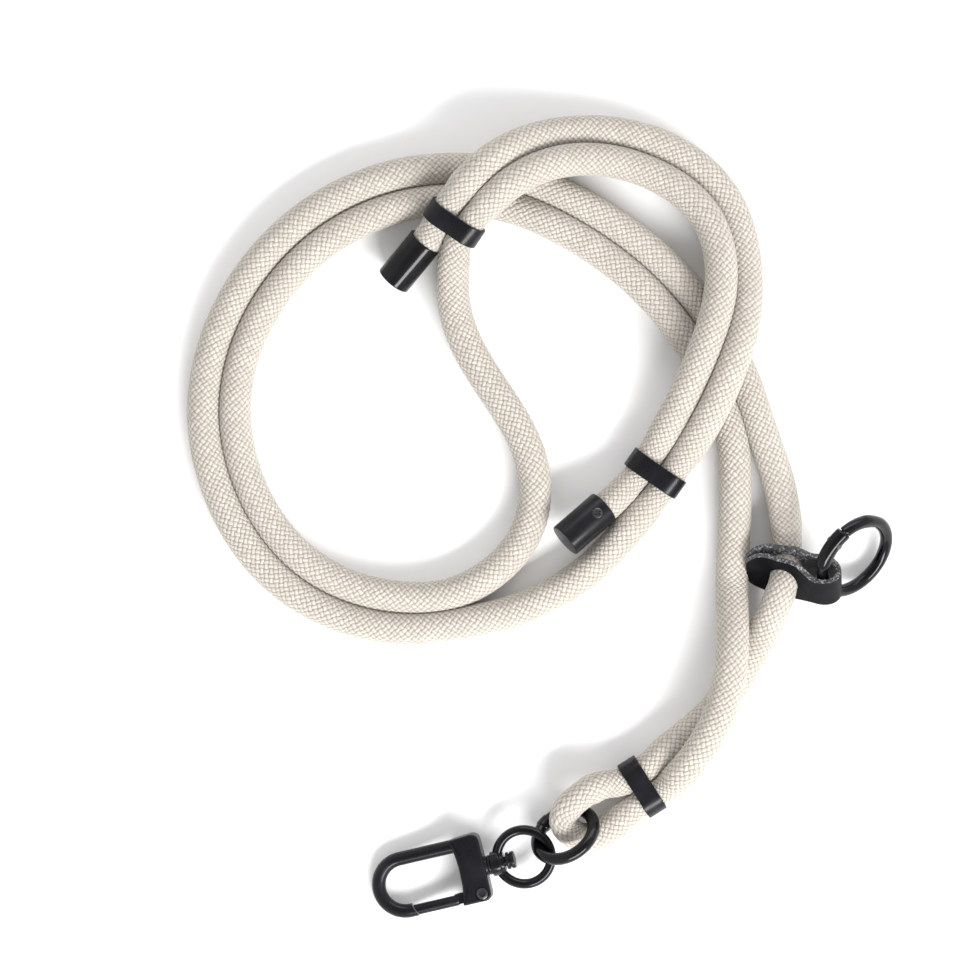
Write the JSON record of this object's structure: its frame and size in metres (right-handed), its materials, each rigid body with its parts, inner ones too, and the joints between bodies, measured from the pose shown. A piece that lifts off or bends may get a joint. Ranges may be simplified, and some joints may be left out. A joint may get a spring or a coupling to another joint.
{
  "type": "phone crossbody strap",
  "caption": "Long braided phone strap laid in two turns, with metal end caps and sliding keepers, a folded leather tab on a spring ring, and a swivel snap hook on a second ring.",
  "frame": {"origin": "middle of the outline that the caps, keepers, tab, rings and hook fill seen from above, at the surface that the strap lies on", "axes": "+X right and +Y up in the picture, +Z up from the surface"},
  "size_m": [0.2119, 0.242, 0.0234],
  "materials": {
    "cord_braid": "round braided cord, ivory and pale beige strands",
    "gloss_black": "glossy black plating",
    "satin_black": "satin black plating",
    "leather": "smooth near-black face, grey fuzzy cut edges",
    "screw_black": "blackened steel"
  },
  "bodies": {
    "strap": {"cord": "cord_braid", "end_cap_a": "gloss_black", "end_cap_a_screw": "screw_black", "end_cap_b": "satin_black", "end_cap_b_screw": "screw_black", "keeper_a": "satin_black", "keeper_b": "satin_black", "keeper_c": "satin_black", "leather_tab": "leather", "tab_ring": "gloss_black", "tab_ring_pin": "screw_black", "loop_ring": "gloss_black", "swivel_eye": "gloss_black"},
    "hook": {"hook_body": "satin_black", "hook_gate_screw": "screw_black"},
    "gate": {"hook_gate": "satin_black"},
    "ring_gate": {"tab_ring_gate": "gloss_black"}
  },
  "joints": [
    {"name": "hook_swivel", "type": "hinge", "parent": "strap", "child": "hook", "pos_m": [-0.04373, -0.09291, 0.00625], "axis": [0.9649, 0.2352, 0.1167], "continuous": true},
    {"name": "hook_gate_hinge", "type": "hinge", "parent": "hook", "child": "gate", "pos_m": [-0.04451, -0.10102, 0.00594], "axis": [0.1134, 0.0276, -0.9932], "range_deg": [0, 28], "stiffness_Nm_per_rad": 0.02},
    {"name": "ring_gate_hinge", "type": "hinge", "parent": "strap", "child": "ring_gate", "pos_m": [0.05951, 0.0055, 0.02112], "axis": [-0.5775, 0.52, -0.6293], "range_deg": [0, 26], "stiffness_Nm_per_rad": 0.02}
  ]
}
